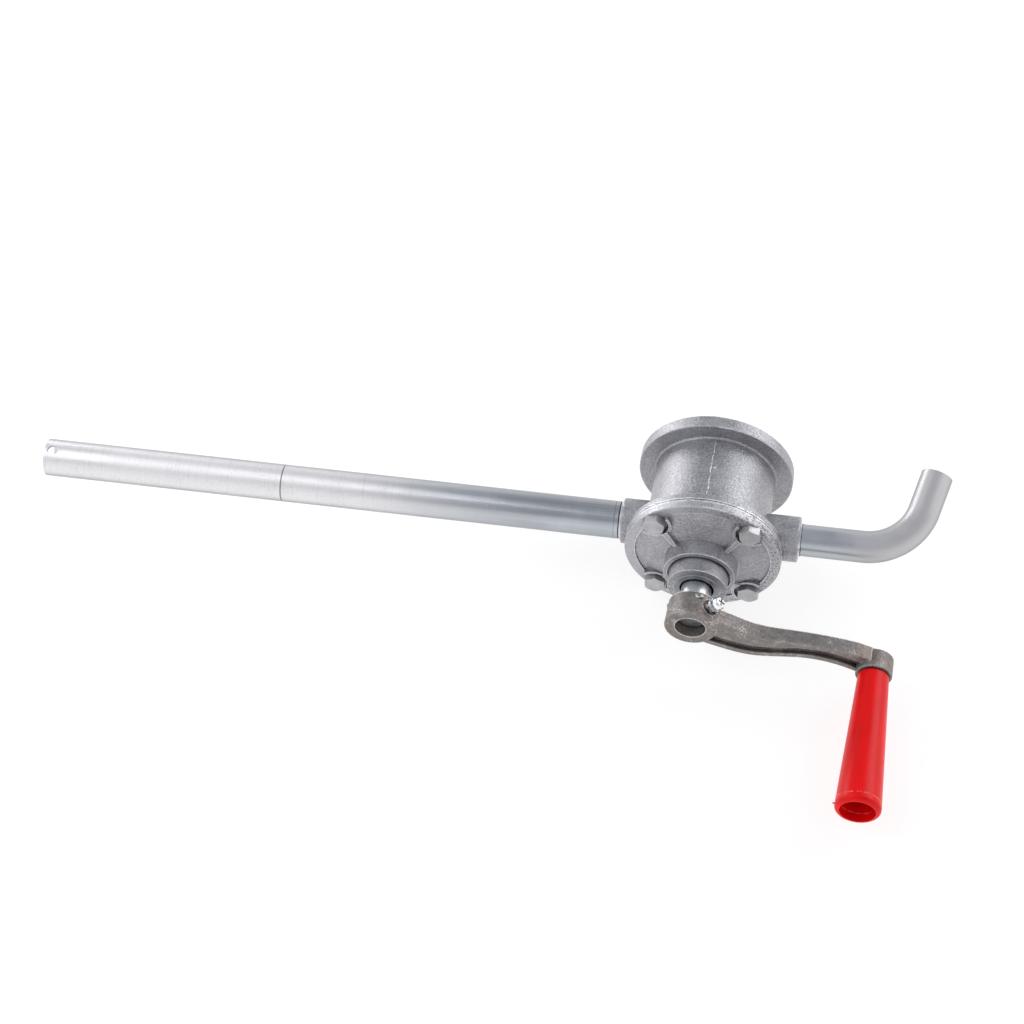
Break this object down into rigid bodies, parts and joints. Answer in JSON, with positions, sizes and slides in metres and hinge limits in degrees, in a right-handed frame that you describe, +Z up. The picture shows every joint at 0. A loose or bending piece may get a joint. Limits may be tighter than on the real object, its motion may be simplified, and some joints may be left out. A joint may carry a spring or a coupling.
{
  "type": "rotary barrel pump",
  "caption": "Hand-cranked rotary vane barrel pump with a drum-shaped cast body, ribbed bolted cover, two-section suction tube, bent discharge spout and revolving grip.",
  "frame": {"origin": "centre of the flat rear face of the pump body, on the shaft axis", "axes": "+Y out of the rear face along the shaft axis, with the crank at -Y; +X along the port axis towards the discharge spout, with the suction tube at -X; +Z up as the pump lies on its two round flanges"},
  "size_m": [0.6077, 0.2413, 0.103],
  "materials": {
    "cast_aluminium": "rough die-cast",
    "tube_aluminium": "bright drawn",
    "gasket_fibre": "dark fibre sheet",
    "zinc_steel": "zinc plated",
    "shaft_steel": "ground",
    "cast_iron": "bare sand-cast",
    "bronze": "machined",
    "packing": "graphite packing",
    "carbon": "moulded carbon",
    "spring_steel": "plain",
    "grip_plastic": "semi-gloss red"
  },
  "bodies": {
    "housing": {"pump_body": "cast_aluminium", "front_cover": "cast_aluminium", "cover_gasket": "gasket_fibre", "cover_bolts": "zinc_steel", "rear_bush": "bronze", "front_bush": "bronze", "packing_rings": "packing", "gland_ring": "zinc_steel", "suction_nipple": "tube_aluminium", "suction_tube_upper": "tube_aluminium", "tube_coupler": "tube_aluminium", "suction_tube_lower": "tube_aluminium", "spout_nipple": "tube_aluminium", "discharge_spout": "tube_aluminium"},
    "crank": {"drive_shaft": "shaft_steel", "rotor": "cast_iron", "rotor_key": "shaft_steel", "vane_springs": "spring_steel", "crank_arm": "cast_iron", "crank_screw": "zinc_steel", "crank_lock_nut": "zinc_steel", "crank_lock_washer": "spring_steel", "grip_pin": "shaft_steel", "grip_washer": "zinc_steel"},
    "grip": {"grip": "grip_plastic"},
    "vane_1_body": {"vane_1": "carbon"},
    "vane_2_body": {"vane_2": "carbon"},
    "vane_3_body": {"vane_3": "carbon"},
    "vane_4_body": {"vane_4": "carbon"}
  },
  "joints": [
    {"name": "crank_spin", "type": "hinge", "parent": "housing", "child": "crank", "pos_m": [0, 0, 0], "axis": [0, 1, 0], "continuous": true},
    {"name": "grip_spin", "type": "hinge", "parent": "crank", "child": "grip", "pos_m": [0.11891, 0, -0.02593], "axis": [0, 1, 0], "continuous": true},
    {"name": "vane_1_slide", "type": "slide", "parent": "crank", "child": "vane_1_body", "axis": [0.7071, 0, 0.7071], "range_m": [0, 0.0011], "stiffness_N_per_m": 50, "springref_m": 0.0011},
    {"name": "vane_2_slide", "type": "slide", "parent": "crank", "child": "vane_2_body", "axis": [-0.7071, 0, 0.7071], "range_m": [0, 0.0011], "stiffness_N_per_m": 50, "springref_m": 0.0011},
    {"name": "vane_3_slide", "type": "slide", "parent": "crank", "child": "vane_3_body", "axis": [-0.7071, 0, -0.7071], "range_m": [0, 0.0011], "stiffness_N_per_m": 50, "springref_m": 0.0011},
    {"name": "vane_4_slide", "type": "slide", "parent": "crank", "child": "vane_4_body", "axis": [0.7071, 0, -0.7071], "range_m": [0, 0.0011], "stiffness_N_per_m": 50, "springref_m": 0.0011}
  ]
}
